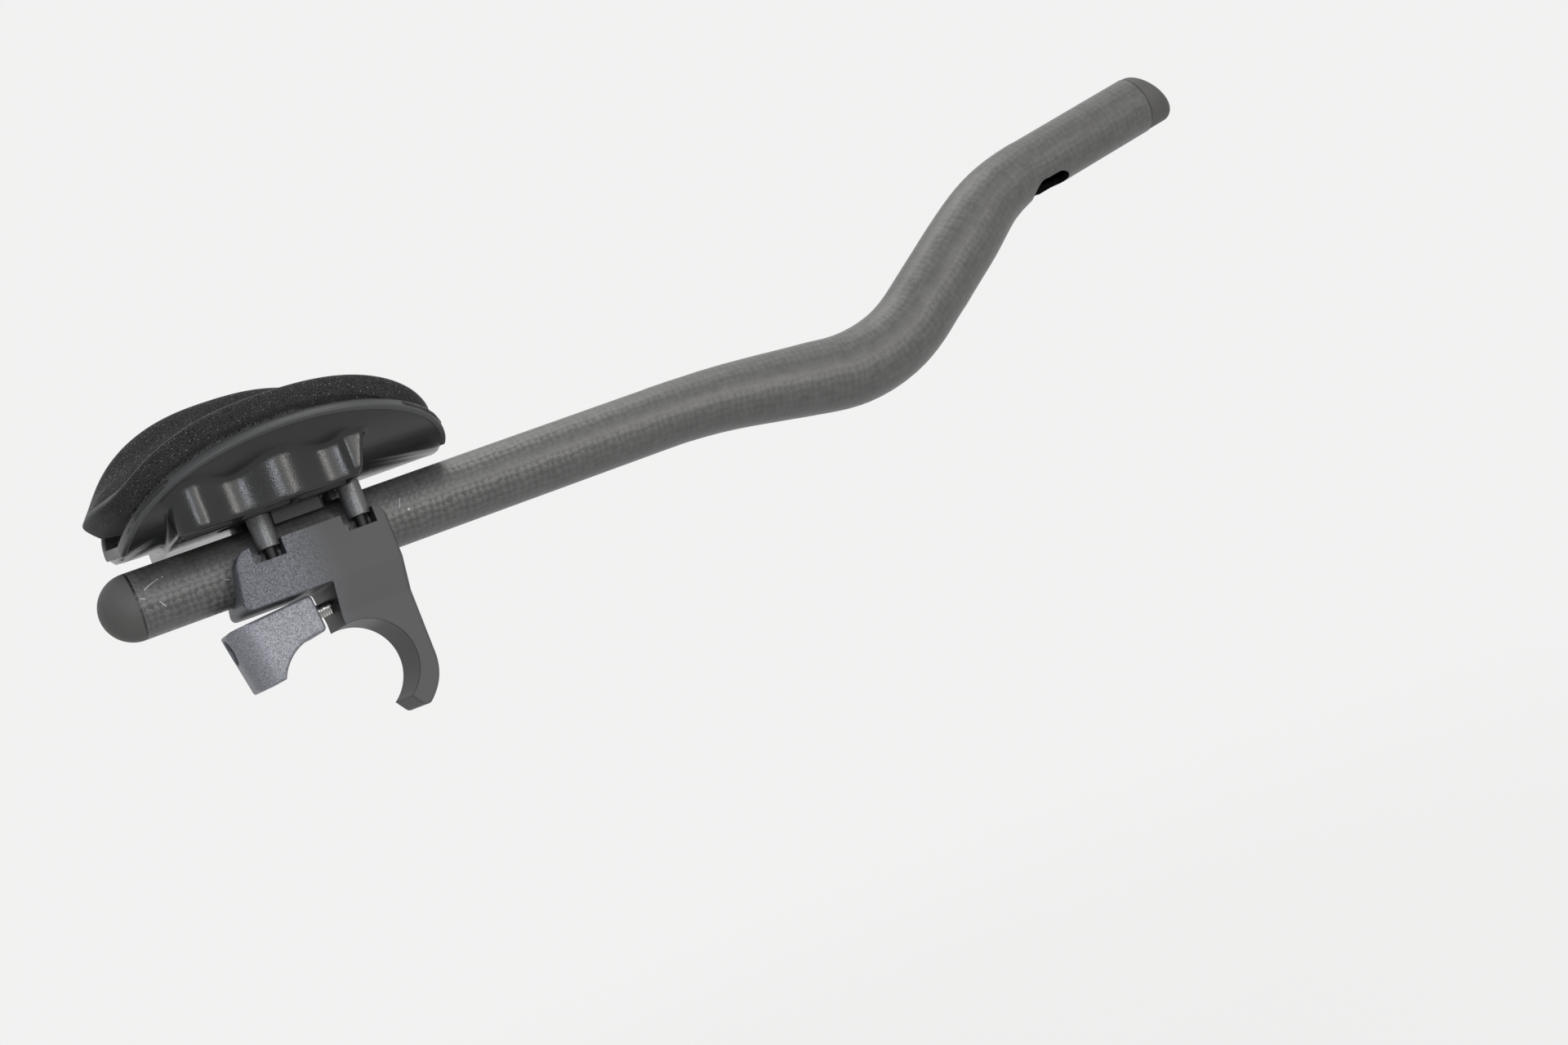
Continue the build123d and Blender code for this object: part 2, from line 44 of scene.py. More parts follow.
# The part's own sizes, in millimetres and degrees, as its source gives them
TUBE_RADIUS = 11.1
TUBE_REAR, TUBE_HEIGHT = -60.5, 45.0
TUBE_RUNS = (207.0, 71.5, 83.5, 70.3)
TUBE_ANGLES = (0.0, -7.3, 34.6, 10.4)
TUBE_BENDS = (280.0, 60.0, 65.0)
CUP_BOTTOM, CUP_WALL = 59.2, 3.0
RIGHT_RADIUS, LEFT_RADIUS = 68.2, 52.0
RIM_REAR, RIM_FRONT = -60.2, 50.2
RIGHT_WING, LEFT_WING = 22.1, 39.3
PAD_REAR, PAD_FRONT, PAD_LOW = -66.0, 50.0, 4.65
JAW_TILT, JAW_LENGTH, JAW_FACE = 5.0, 29.0, (-8.9, 0.0, 23.0)
SCREW_RADIUS, SCREW_LENGTH = 2.5, 30.0
HEAD_SINK, HEAD_RADIUS, HEAD_HEIGHT = 13.0, 4.25, 5.0
KEY_SIZE, KEY_DEPTH = 4.0, 2.7

# Camera
right = Vector((0.8587, -0.3572, -0.3675))
down = Vector((-0.3334, 0.1551, -0.9299))
ahead = Vector((0.3891, 0.9211, 0.0141))
eye = Vector((-0.17096, -0.77677, -0.01614))
camera = bpy.data.cameras.new("camera")
camera.lens = 55.31
camera.sensor_width = 36
placing = Matrix((right, -down, -ahead)).transposed().to_4x4()
placing.translation = eye
viewer = bpy.data.objects.new("camera", camera)
viewer.matrix_world = placing
scene.collection.objects.link(viewer)
scene.camera = viewer


# Node helpers
def put(tree, target, values):
    for socket, value in values.items():
        if isinstance(value, bpy.types.NodeSocket):
            tree.links.new(value, target.inputs[socket])
        else:
            target.inputs[socket].default_value = value


def add(tree, kind, values=None, **settings):
    made = tree.nodes.new(kind)
    for key, value in settings.items():
        setattr(made, key, value)
    put(tree, made, values or {})
    return made


def sums(tree, operation, *terms):
    return add(tree, "ShaderNodeMath", dict(enumerate(terms)), operation=operation).outputs[0]


def plus(tree, first, second):
    return sums(tree, "ADD", first, second)


def minus(tree, first, second):
    return sums(tree, "SUBTRACT", first, second)


def times(tree, first, second):
    return sums(tree, "MULTIPLY", first, second)


def centred(tree, value, size):
    # A value from 0 to 1, moved to lie evenly about 0 and scaled to that size
    return times(tree, minus(tree, value, 0.5), size)


def vectors(tree, operation, *terms):
    values = dict(enumerate(terms))
    if operation == "SCALE":
        values = {0: terms[0], "Scale": terms[1]}
    made = add(tree, "ShaderNodeVectorMath", values, operation=operation)
    return made.outputs["Value" if operation in ("DOT_PRODUCT", "LENGTH") else "Vector"]


def spread(tree, value, low, high, to_low=0.0, to_high=1.0):
    values = {"Value": value, "From Min": low, "From Max": high, "To Min": to_low, "To Max": to_high}
    return add(tree, "ShaderNodeMapRange", values, interpolation_type="SMOOTHSTEP").outputs["Result"]


def blend(tree, share, low, high):
    # Inputs 6 and 7 and output 2 of a mix node are its colours
    values = {0: share, 6: low, 7: high}
    return add(tree, "ShaderNodeMix", values, data_type="RGBA").outputs[2]


def place(tree):
    return add(tree, "ShaderNodeTexCoord").outputs["Object"]


def normal_of(tree):
    return add(tree, "ShaderNodeNewGeometry").outputs["Normal"]


def attribute(tree, name, output):
    return add(tree, "ShaderNodeAttribute", attribute_name=name).outputs[output]


def split(tree, vector):
    return add(tree, "ShaderNodeSeparateXYZ", {0: vector}).outputs


def joined(tree, x, y):
    return add(tree, "ShaderNodeCombineXYZ", {0: x, 1: y}).outputs[0]


def even_grey(tree, level):
    return add(tree, "ShaderNodeCombineColor", {0: level, 1: level, 2: level}).outputs[0]


def emission(tree, colour):
    return add(tree, "ShaderNodeEmission", {"Color": colour, "Strength": 1.0}).outputs[0]


def mix_shaders(tree, share, low, high):
    return add(tree, "ShaderNodeMixShader", {0: share, 1: low, 2: high}).outputs[0]


def seen_rays(tree):
    # 1 for the rays that see the pale background: the camera's, and those off gloss or through glass
    rays = add(tree, "ShaderNodeLightPath").outputs
    direct = sums(tree, "MAXIMUM", rays["Is Camera Ray"], rays["Is Transmission Ray"])
    return sums(tree, "MAXIMUM", direct, rays["Is Glossy Ray"])


def noise(tree, where, size, detail=2.0):
    # Noise whose grains are about this many millimetres across
    values = {"Vector": where, "Scale": 1 / (size * MM), "Detail": detail}
    return add(tree, "ShaderNodeTexNoise", values).outputs["Fac"]


def specks(tree, where, size, radius, share):
    # Small dots, one in a share of the cells of a grid of that size
    values = {"Vector": where, "Scale": 1 / (size * MM)}
    cells = add(tree, "ShaderNodeTexVoronoi", values)
    dot = spread(tree, cells.outputs["Distance"], radius, radius * 0.5)
    level = add(tree, "ShaderNodeSeparateColor", {0: cells.outputs["Color"]}).outputs[0]
    return times(tree, dot, sums(tree, "LESS_THAN", level, share))


def flattened(tree, normal, strength):
    # Where a face slopes only a little from the right or left side, it is shaded more like that side
    slope_from, slope_to = 0.55, 0.8
    sideways = split(tree, normal)[1]
    pull = spread(tree, sums(tree, "ABSOLUTE", sideways), slope_from, slope_to, 0.0, strength)
    pull = times(tree, pull, sums(tree, "SIGN", sideways))
    return vectors(tree, "NORMALIZE", vectors(tree, "ADD", normal, joined(tree, 0.0, pull)))


def bump(tree, shader, height, depth, edge=0.0, flatten=0.0):
    # Surface relief of that depth in millimetres, over edges softened by that radius
    values = {"Height": height, "Distance": depth * MM}
    if edge:
        values["Normal"] = add(tree, "ShaderNodeBevel", {"Radius": edge * MM}, samples=6).outputs[0]
    if flatten:
        values["Normal"] = flattened(tree, values["Normal"], flatten)
    put(tree, shader, {"Normal": add(tree, "ShaderNodeBump", values).outputs[0]})


def material(name, values):
    made = bpy.data.materials.new(name)
    made.use_nodes = True
    tree = made.node_tree
    shader = tree.nodes["Principled BSDF"]
    put(tree, shader, values)
    return made, tree, shader


def grey(level):
    return (level, level, level, 1.0)


# Mesh helpers
def paint(mesh, finish):
    mesh.materials.clear()
    mesh.materials.append(finish)


def dress(finish, *names):
    for name in names:
        paint(nodes[name].data, finish)


def new_piece(name, mesh, finish, body):
    made = bpy.data.objects.new(name, mesh)
    scene.collection.objects.link(made)
    paint(mesh, finish)
    mesh.shade_smooth()
    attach(made, body)
    return made


def mesh_from(name, points, faces):
    mesh = bpy.data.meshes.new(name)
    mesh.from_pydata([tuple(p) for p in np.asarray(points) * MM], [], [tuple(f) for f in faces])
    mesh.update()
    return mesh


def band(first, second):
    # Faces between two closed rings of point numbers
    count = len(first)
    return [(first[k], first[(k + 1) % count], second[(k + 1) % count], second[k]) for k in range(count)]


def turn_out(mesh, merge=0.0):
    # Turns every face outward, after joining points that lie within a distance in metres
    work = bmesh.new()
    work.from_mesh(mesh)
    if merge:
        bmesh.ops.remove_doubles(work, verts=work.verts, dist=merge)
    bmesh.ops.recalc_face_normals(work, faces=work.faces)
    work.to_mesh(mesh)
    work.free()


# Light: a surround that is brighter above and behind the part, and four lamps
WHITE = (0.885, 0.885, 0.88, 1.0)
LOOKING = (0.389, 0.921, 0.0)
SURROUND_MOST = 0.85
PART_MIDDLE, CUP_MIDDLE = (0.05, 0.0, 0.05), (0.0, 0.0, 0.06)
world = bpy.data.worlds.new("studio")
scene.world = world
world.use_nodes = True
tree = world.node_tree
towards = add(tree, "ShaderNodeTexCoord").outputs["Generated"]
away = vectors(tree, "DOT_PRODUCT", towards, LOOKING)
behind = spread(tree, away, low=0.0, high=0.8, to_low=0.0, to_high=0.3)
above = spread(tree, split(tree, towards)[2], low=0.15, high=0.9, to_low=0.16, to_high=0.6)
level = sums(tree, "MINIMUM", plus(tree, behind, above), SURROUND_MOST)
surround = blend(tree, seen_rays(tree), even_grey(tree, level), WHITE)
put(tree, tree.nodes["Background"], {"Color": surround, "Strength": 1.0})


def lamp(name, at, aim, size, watts, colour):
    light = bpy.data.lights.new(name, "AREA")
    light.shape = "RECTANGLE"
    light.size, light.size_y = size
    light.energy = watts
    light.color = colour
    holder = bpy.data.objects.new(name, light)
    holder.location = at
    holder.rotation_euler = (Vector(aim) - Vector(at)).to_track_quat("-Z", "Y").to_euler()
    scene.collection.objects.link(holder)


lamp("front", (0.2, -1.6, 0.0), PART_MIDDLE, size=(1.6, 1.1), watts=10.5, colour=(1.0, 0.995, 0.98))
lamp("window", (-0.24, -1.25, 0.30), CUP_MIDDLE, size=(0.06, 0.3), watts=2.7, colour=(0.82, 0.88, 1.0))
lamp("side", (0.6, -1.35, 0.2), CUP_MIDDLE, size=(0.08, 0.7), watts=4.2, colour=(1.0, 0.955, 0.89))
lamp("top", (0.25, 0.1, 1.2), PART_MIDDLE, size=(0.9, 0.5), watts=5.0, colour=(1.0, 0.985, 0.96))

# Floor: pale where it is seen, and a dimmer light from below for the rest
FLOOR_AT = (0.1, 0.0, -0.25)
bpy.ops.mesh.primitive_circle_add(vertices=96, radius=9.0, fill_type="NGON", location=FLOOR_AT)
floor = bpy.context.object
floor.name = "floor"
floor_finish, tree, shader = material("floor", {"Base Color": grey(0.8), "Roughness": 0.9})
where = place(tree)
glow_share = spread(tree, vectors(tree, "LENGTH", where), low=0.1, high=1.0, to_low=0.85, to_high=1.0)
seen = mix_shaders(tree, glow_share, shader.outputs[0], emission(tree, WHITE))
level = spread(tree, split(tree, where)[1], low=-0.3, high=0.2, to_low=0.22, to_high=0.5)
unseen = emission(tree, even_grey(tree, level))
put(tree, tree.nodes["Material Output"], {"Surface": mix_shaders(tree, seen_rays(tree), unseen, seen)})
floor.data.materials.append(floor_finish)

# Carbon tube: each point's place on the straightened tube is kept for the weave
LINE_STEP = 0.25


def tube_line():
    # The middle line: distances along it, the heading and the place at each, and its whole length
    angles = np.radians(TUBE_ANGLES)
    turns = np.abs(np.diff(angles))
    cuts = np.concatenate([[0.0], np.array(TUBE_BENDS) * np.tan(turns / 2), [0.0]])
    marks, headings = [0.0], [0.0]
    for index, run in enumerate(TUBE_RUNS):
        marks.append(marks[-1] + run - cuts[index] - cuts[index + 1])
        headings.append(angles[index])
        if index < len(turns):
            marks.append(marks[-1] + TUBE_BENDS[index] * turns[index])
            headings.append(angles[index + 1])
    along = np.arange(0.0, marks[-1], LINE_STEP)
    heading = np.interp(along + LINE_STEP / 2, marks, headings)
    line_x = TUBE_REAR + np.concatenate([[0.0], np.cumsum(np.cos(heading))[:-1]]) * LINE_STEP
    line_z = TUBE_HEIGHT + np.concatenate([[0.0], np.cumsum(np.sin(heading))[:-1]]) * LINE_STEP
    return along, heading, line_x, line_z, marks[-1]


def straighten(mesh):
    # Keeps each point's place on the straightened tube and the heading there, and gives the tube's length
    along, heading, line_x, line_z, length = tube_line()
    spots = np.empty(len(mesh.vertices) * 3, np.float32)
    mesh.vertices.foreach_get("co", spots)
    spots = spots.reshape(-1, 3) / MM
    straight = np.empty_like(spots)
    axes = np.zeros_like(spots)
    for index, (x, y, z) in enumerate(spots):
        near = int(np.argmin((line_x - x) ** 2 + (line_z - z) ** 2))
        c, s = math.cos(heading[near]), math.sin(heading[near])
        off_x, off_z = x - line_x[near], z - line_z[near]
        straight[index] = (along[near] + off_x * c + off_z * s, y, off_z * c - off_x * s)
        axes[index] = (c, 0.0, s)
    for name, values in (("tube_place", straight), ("tube_axis", axes)):
        mesh.attributes.new(name, "FLOAT_VECTOR", "POINT").data.foreach_set("vector", values.ravel())
    return length


def scratch(tree, skin, start, end, width):
    # A scratch between two places on the tube, each a distance along it and a turn in degrees
    start = Vector((start[0], math.radians(start[1]) * TUBE_RADIUS, 0.0))
    span = Vector((end[0], math.radians(end[1]) * TUBE_RADIUS, 0.0)) - start
    away = vectors(tree, "SUBTRACT", skin, start)
    share = sums(tree, "DIVIDE", vectors(tree, "DOT_PRODUCT", away, span), span.length_squared)
    share = sums(tree, "MINIMUM", sums(tree, "MAXIMUM", share, 0.0), 1.0)
    off = vectors(tree, "SUBTRACT", away, vectors(tree, "SCALE", span, share))
    return spread(tree, vectors(tree, "LENGTH", off), width, width * 0.4)


TOWS = 28
TOW_STEP = 2 * math.pi * TUBE_RADIUS / TOWS
TOW_CROWN, TOW_FLAT, TOW_DIVE = 0.2, 0.06, 0.1
WARP_GRAIN, WARP_ALONG, WARP_ROUND = 5.0, 1.5, 1.3
WARP_ASIDE = (0.3, 0.1, 0.2)
FADE_START, FADE_END, FADED = 80.0, 200.0, 0.4
TOW_SHADE, MOTTLE_SHADE, FADED_SHADE = 0.3, 0.7, 0.09
SCRATCHES = (
    ((3.5, -73.9), (5.2, -68.9), 0.2),
    ((5.2, -68.9), (8.7, -63.1), 0.14),
    ((10.1, -62.4), (10.3, -62.2), 0.22),
    ((6.6, -99.8), (7.9, -109.9), 0.16),
    ((1.3, -84.8), (2.6, -88.3), 0.14),
    ((27.7, -102.1), (29.4, -105.3), 0.14),
    ((91.3, -95.5), (91.5, -96.3), 0.4),
    ((90.1, -72.6), (88.7, -88.6), 0.1),
)
tube_length = straighten(nodes["extension_tube"].data)
carbon, tree, shader = material("carbon", {"Roughness": 0.45, "Coat Roughness": 0.45})
where = place(tree)
tube_x, tube_y, tube_z = split(tree, attribute(tree, "tube_place", "Vector"))
axis = attribute(tree, "tube_axis", "Vector")
facing = normal_of(tree)
around = vectors(tree, "CROSS_PRODUCT", facing, axis)
turn = sums(tree, "ARCTAN2", tube_y, tube_z)
warp_along = centred(tree, noise(tree, where, WARP_GRAIN), WARP_ALONG)
aside = vectors(tree, "ADD", where, WARP_ASIDE)
warp_round = centred(tree, noise(tree, aside, WARP_GRAIN), WARP_ROUND)
tow_along = plus(tree, times(tree, tube_x, 1 / TOW_STEP), warp_along)
tow_round = plus(tree, times(tree, turn, TOWS / (2 * math.pi)), warp_round)
first = plus(tree, tow_along, tow_round)
second = minus(tree, tow_along, tow_round)
cell = plus(tree, sums(tree, "FLOOR", first), sums(tree, "FLOOR", second))
over = sums(tree, "FLOORED_MODULO", cell, 2.0)
# Each tow is crowned across its width, a little along its length, and leans as it dives under
first_crown = spread(tree, over, 0.0, 1.0, TOW_FLAT, TOW_CROWN)
second_crown = spread(tree, over, 0.0, 1.0, TOW_CROWN, TOW_FLAT)
first_lean = centred(tree, sums(tree, "FRACT", first), first_crown)
second_lean = centred(tree, sums(tree, "FRACT", second), second_crown)
dive = spread(tree, over, 0.0, 1.0, -TOW_DIVE, TOW_DIVE)
lean_round = plus(tree, minus(tree, first_lean, second_lean), dive)
lean = vectors(tree, "SCALE", axis, plus(tree, first_lean, second_lean))
lean = vectors(tree, "ADD", lean, vectors(tree, "SCALE", around, lean_round))
# The weave is fainter on the front half
weave = spread(tree, tube_x, FADE_START, FADE_END, 1.0, FADED)
leaning = vectors(tree, "ADD", facing, vectors(tree, "SCALE", lean, weave))
put(tree, shader, {"Normal": vectors(tree, "NORMALIZE", leaning)})
mottle = times(tree, noise(tree, where, 3.5, 3.0), MOTTLE_SHADE)
tow_shade = plus(tree, times(tree, times(tree, over, TOW_SHADE), weave), mottle)
tow_shade = plus(tree, tow_shade, spread(tree, weave, FADED, 1.0, FADED_SHADE, 0.0))
colour = blend(tree, tow_shade, (0.036, 0.036, 0.0355, 1.0), (0.15, 0.149, 0.146, 1.0))
# Pale specks on the crown between the sleeves, and scratches
crown = times(tree, spread(tree, tube_x, 46.0, 52.0), spread(tree, tube_x, 68.0, 64.0))
crown = times(tree, crown, spread(tree, tube_z, 1.0, 4.0))
worn_spots = times(tree, specks(tree, where, size=2.2, radius=0.09, share=0.35), crown)
skin = joined(tree, tube_x, times(tree, turn, TUBE_RADIUS))
for start, end, width in SCRATCHES:
    worn_spots = sums(tree, "MAXIMUM", worn_spots, scratch(tree, skin, start, end, width))
colour = blend(tree, worn_spots, colour, grey(0.62))
# The cut ends: a painted shadow in the gap at each plug, and a painted highlight along the rim beside the
# rear one
rim_painted_highlight = times(tree, spread(tree, tube_x, 0.75, 0.85), spread(tree, tube_x, 1.2, 0.95))
colour = blend(tree, rim_painted_highlight, colour, grey(0.13))
# Painted shadow: the gap at each plug is painted near black
rear_gap_shadow = spread(tree, tube_x, 0.85, 0.7)
front_gap_shadow = spread(tree, tube_x, tube_length - 0.6, tube_length - 0.4)
colour = blend(tree, sums(tree, "MAXIMUM", rear_gap_shadow, front_gap_shadow), colour, grey(0.004))
# The inside is painted near black and dull, a painted shade for the hollow tube
up = vectors(tree, "CROSS_PRODUCT", axis, (0.0, 1.0, 0.0))
outward = vectors(tree, "ADD", vectors(tree, "SCALE", up, tube_z), joined(tree, 0.0, tube_y))
inside_painted_shade = spread(tree, vectors(tree, "DOT_PRODUCT", facing, outward), 5.0, 2.0)
put(tree, shader, {"Base Color": blend(tree, inside_painted_shade, colour, grey(0.003))})
put(tree, shader, {"Coat Weight": spread(tree, inside_painted_shade, 0.0, 1.0, to_low=0.28, to_high=0.0)})
put(tree, shader, {"Specular IOR Level": spread(tree, inside_painted_shade, 0.0, 1.0, to_low=0.5, to_high=0.1)})
dress(carbon, "extension_tube")

# Rubber plugs
rubber, tree, shader = material("rubber", {"Roughness": 0.6, "Specular IOR Level": 0.4})
where = place(tree)
cloudy = noise(tree, where, 6.0, 4.0)
colour = blend(tree, cloudy, (0.085, 0.084, 0.082, 1.0), (0.115, 0.114, 0.111, 1.0))
put(tree, shader, {"Base Color": colour})
bump(tree, shader, noise(tree, where, 0.25), depth=0.02, edge=0.6)
dress(rubber, "rear_plug", "front_plug")


# Anodised metal
def blast(tree, shader, low, high, grain, depth, edge, flatten=0.0):
    # Gives the shader a blasted surface, and returns the colour of its fine sparkle
    fine = noise(tree, place(tree), grain, 2.0)
    bump(tree, shader, fine, depth, edge, flatten)
    return blend(tree, spread(tree, fine, 0.3, 0.7), low, high)


def blasted(name, values, **surface):
    made, tree, shader = material(name, values)
    put(tree, shader, {"Base Color": blast(tree, shader, **surface)})
    return made


bracket_finish, tree, shader = material("bracket_finish", {"Roughness": 0.5, "Specular IOR Level": 0.3})
sparkle_and_highlight = blast(
    tree, shader, low=(0.062, 0.0645, 0.074, 1.0), high=(0.186, 0.195, 0.222, 1.0),
    grain=0.42, depth=0.02, edge=1.5, flatten=8.0,
)
# The bright bluish sparkle is kept to the rear half: partly the blasted grain, partly a painted highlight
# where light reflects off that half
bracket_x, _, bracket_z = split(tree, place(tree))
past_painted_highlight = spread(tree, bracket_x, -0.016, 0.004)
colour = blend(tree, past_painted_highlight, sparkle_and_highlight, (0.073, 0.0735, 0.075, 1.0))
# Painted shade: the walls of the notch for the loose jaw are painted near black, and made fully metallic
# so that they reflect almost nothing
notch_painted_shade = spread(tree, split(tree, normal_of(tree))[0], -0.4, -0.7)
notch_painted_shade = times(tree, notch_painted_shade, spread(tree, bracket_z, 0.034, 0.031))
notch_painted_shade = times(tree, notch_painted_shade, spread(tree, bracket_x, -0.02, -0.016))
put(tree, shader, {"Base Color": blend(tree, notch_painted_shade, colour, grey(0.004))})
put(tree, shader, {"Metallic": spread(tree, notch_painted_shade, 0.0, 1.0, to_low=0.2, to_high=1.0)})
jaw_finish = blasted(
    "jaw_finish", {"Roughness": 0.5, "Metallic": 0.25},
    low=(0.12, 0.123, 0.14, 1.0), high=(0.36, 0.366, 0.408, 1.0), grain=0.32, depth=0.02, edge=0.8,
)
cap_metal = blasted(
    "cap_metal", {"Roughness": 0.55, "Metallic": 0.2},
    low=(0.04, 0.042, 0.0415, 1.0), high=(0.06, 0.063, 0.062, 1.0), grain=0.4, depth=0.006, edge=0.4,
)
sleeve_finish = blasted(
    "sleeve_finish", {"Roughness": 0.42, "Metallic": 0.4},
    low=(0.10, 0.102, 0.104, 1.0), high=(0.17, 0.173, 0.176, 1.0), grain=0.4, depth=0.01, edge=0.5,
)
dress(bracket_finish, "bracket")
dress(jaw_finish, "clamp_jaw")
dress(cap_metal, "tube_cap")

# Steel, plain and blackened; the blackened steel is very dark, partly its own finish and partly painted
# shade in the bracket's pockets
steel, tree, shader = material("steel", {"Metallic": 1.0})
where = place(tree)
rub = noise(tree, where, 1.2, 4.0)
put(tree, shader, {"Base Color": blend(tree, rub, (0.5, 0.5, 0.49, 1.0), (0.74, 0.74, 0.73, 1.0))})
put(tree, shader, {"Roughness": spread(tree, rub, 0.3, 0.7, to_low=0.2, to_high=0.36)})
bump(tree, shader, noise(tree, where, 0.3), depth=0.008, edge=0.2)
black_steel_and_shade, tree, shader = material("black_steel_and_shade", {"Metallic": 0.6, "Roughness": 0.5})
rub = noise(tree, place(tree), 0.8, 4.0)
put(tree, shader, {"Base Color": blend(tree, rub, grey(0.008), grey(0.028))})
bump(tree, shader, rub, depth=0.02, edge=0.2)
for corner in ("rear_right", "rear_left", "front_right", "front_left"):
    dress(sleeve_finish, f"sleeve_{corner}")
    dress(steel, f"washer_{corner}")
    dress(black_steel_and_shade, f"bolt_{corner}")

# Hook tape, and lint for loose fibres
tape, tree, shader = material("hook_tape", {"Roughness": 0.95, "Sheen Weight": 0.1})
loops = noise(tree, place(tree), 0.6, 3.0)
put(tree, shader, {"Base Color": blend(tree, loops, grey(0.002), (0.014, 0.014, 0.015, 1.0))})
bump(tree, shader, loops, depth=0.3)
dress(tape, "hook_strip_rear", "hook_strip_front")
lint, tree, shader = material("lint", {"Roughness": 0.9})
put(tree, shader, {"Base Color": blend(tree, noise(tree, place(tree), 1.5), grey(0.06), grey(0.34))})

# Cup: the moulded trough, with a lip along its rim and every edge of the solid softly rounded
plastic, tree, shader = material("cup_plastic", {"Specular IOR Level": 0.36})
where = place(tree)
cloudy = noise(tree, where, 14.0, 3.0)
colour = blend(tree, cloudy, (0.014, 0.0144, 0.0147, 1.0), (0.027, 0.0277, 0.0284, 1.0))
# The lip along the rim is paler, a painted reflection of the light on its flat band, and duller
lip_painted_reflection = attribute(tree, "lip", "Fac")
put(tree, shader, {"Base Color": blend(tree, lip_painted_reflection, colour, (0.066, 0.068, 0.069, 1.0))})
dull = spread(tree, lip_painted_reflection, 0.0, 1.0, to_low=0.0, to_high=0.2)
gloss = spread(tree, cloudy, 0.3, 0.7, to_low=0.165, to_high=0.23)
put(tree, shader, {"Roughness": plus(tree, dull, gloss)})
bump(tree, shader, noise(tree, where, 0.4, 3.0), depth=0.05)

RIM_MIDDLE, RIM_HALF = (RIM_REAR + RIM_FRONT) / 2, (RIM_FRONT - RIM_REAR) / 2
LIP_STEPS, LIP_SIDES, LIP_CORNER = 360, 20, 0.5
LIP_WIDE, LIP_HIGH = 1.85, 1.1
LIP_SHORT, LIP_BELOW_RIGHT, LIP_BELOW_LEFT = 1.0, 0.8, 1.0
ROUND_VOXEL, ROUND_PASSES = 0.7, 14
ON_WALL = 0.05


def trough(x, side, inset):
    # A point in the trough: its side is the angle to the right (below 0) or left, in degrees
    radius = RIGHT_RADIUS if side < 0 else LEFT_RADIUS
    reach = radius - inset
    angle = math.radians(side)
    return x, reach * math.sin(angle), CUP_BOTTOM + radius - reach * math.cos(angle)


def rim_side(x, left, inset):
    # Angle of the cup's rim at a place along it, at a depth below the wall's outer face
    radius, wing = (LEFT_RADIUS, LEFT_WING) if left else (RIGHT_RADIUS, RIGHT_WING)
    share = (x - RIM_MIDDLE) / RIM_HALF
    rise = wing * math.sqrt(max(0.0, 1 - share * share))
    return math.degrees(math.acos(min(1.0, (radius - rise) / (radius - inset))))


def lip_path():
    # Places round the rim in the middle of its wall, each with its angle to the side
    path = []
    for index in range(LIP_STEPS):
        angle = 2 * math.pi * index / LIP_STEPS
        x = RIM_MIDDLE + (RIM_HALF - LIP_SHORT) * math.cos(angle)
        if math.sin(angle) < 0:
            side = -max(0.0, rim_side(x, False, CUP_WALL) - LIP_BELOW_RIGHT)
        else:
            side = max(0.0, rim_side(x, True, CUP_WALL) - LIP_BELOW_LEFT)
        path.append((Vector(trough(x, side, CUP_WALL / 2)), math.radians(side)))
    return path


def rim_lip():
    # A lip with rounded corners along the whole rim
    path = lip_path()
    points, faces, rings = [], [], []
    for index, (spot, angle) in enumerate(path):
        onward = path[(index + 1) % len(path)][0] - path[index - 1][0]
        inward = Vector((0.0, -math.sin(angle), math.cos(angle)))
        across = onward.normalized().cross(inward)
        rings.append(range(len(points), len(points) + LIP_SIDES))
        for k in range(LIP_SIDES):
            turned = 2 * math.pi * (k + 0.5) / LIP_SIDES
            c = math.copysign(abs(math.cos(turned)) ** LIP_CORNER, math.cos(turned))
            s = math.copysign(abs(math.sin(turned)) ** LIP_CORNER, math.sin(turned))
            points.append(spot + inward * (c * LIP_WIDE) + across * (s * LIP_HIGH))
    for index, ring in enumerate(rings):
        faces += band(ring, rings[(index + 1) % len(rings)])
    return mesh_from("rim_lip", points, faces)


def square_rim(work):
    # Brings the rim's outer edge down until the rim is square across the wall
    for vertex in work.verts:
        x, y, z = vertex.co / MM
        radius = RIGHT_RADIUS if y < 0 else LEFT_RADIUS
        level = CUP_BOTTOM + radius - z
        limit = rim_side(x, y >= 0, CUP_WALL)
        outside = abs(math.hypot(y, level) - radius) < ON_WALL
        if outside and math.degrees(math.atan2(abs(y), level)) > limit:
            vertex.co = Vector(trough(x, math.copysign(limit, y), 0.0)) * MM


def rounded(mesh):
    # The cup's solid with a square rim, and with edges and inner corners rounded off
    work = bmesh.new()
    work.from_mesh(mesh)
    square_rim(work)
    squared = bpy.data.meshes.new("rounding")
    work.to_mesh(squared)
    work.free()
    soft = bpy.data.objects.new("rounding", squared)
    scene.collection.objects.link(soft)
    even = soft.modifiers.new("even", "REMESH")
    even.mode = "VOXEL"
    even.voxel_size = ROUND_VOXEL * MM
    smooth = soft.modifiers.new("smooth", "SMOOTH")
    smooth.factor = 0.5
    smooth.iterations = ROUND_PASSES
    made = bpy.data.meshes.new_from_object(soft.evaluated_get(bpy.context.evaluated_depsgraph_get()))
    bpy.data.objects.remove(soft)
    return made


def with_lip(mesh, lip):
    # Adds the lip to the mesh, and marks its points
    work = bmesh.new()
    work.from_mesh(mesh)
    work.from_mesh(lip)
    work.to_mesh(mesh)
    work.free()
    marked = np.arange(len(mesh.vertices)) >= len(mesh.vertices) - len(lip.vertices)
    mesh.attributes.new("lip", "FLOAT", "POINT").data.foreach_set("value", marked.astype(np.float32))
    return mesh


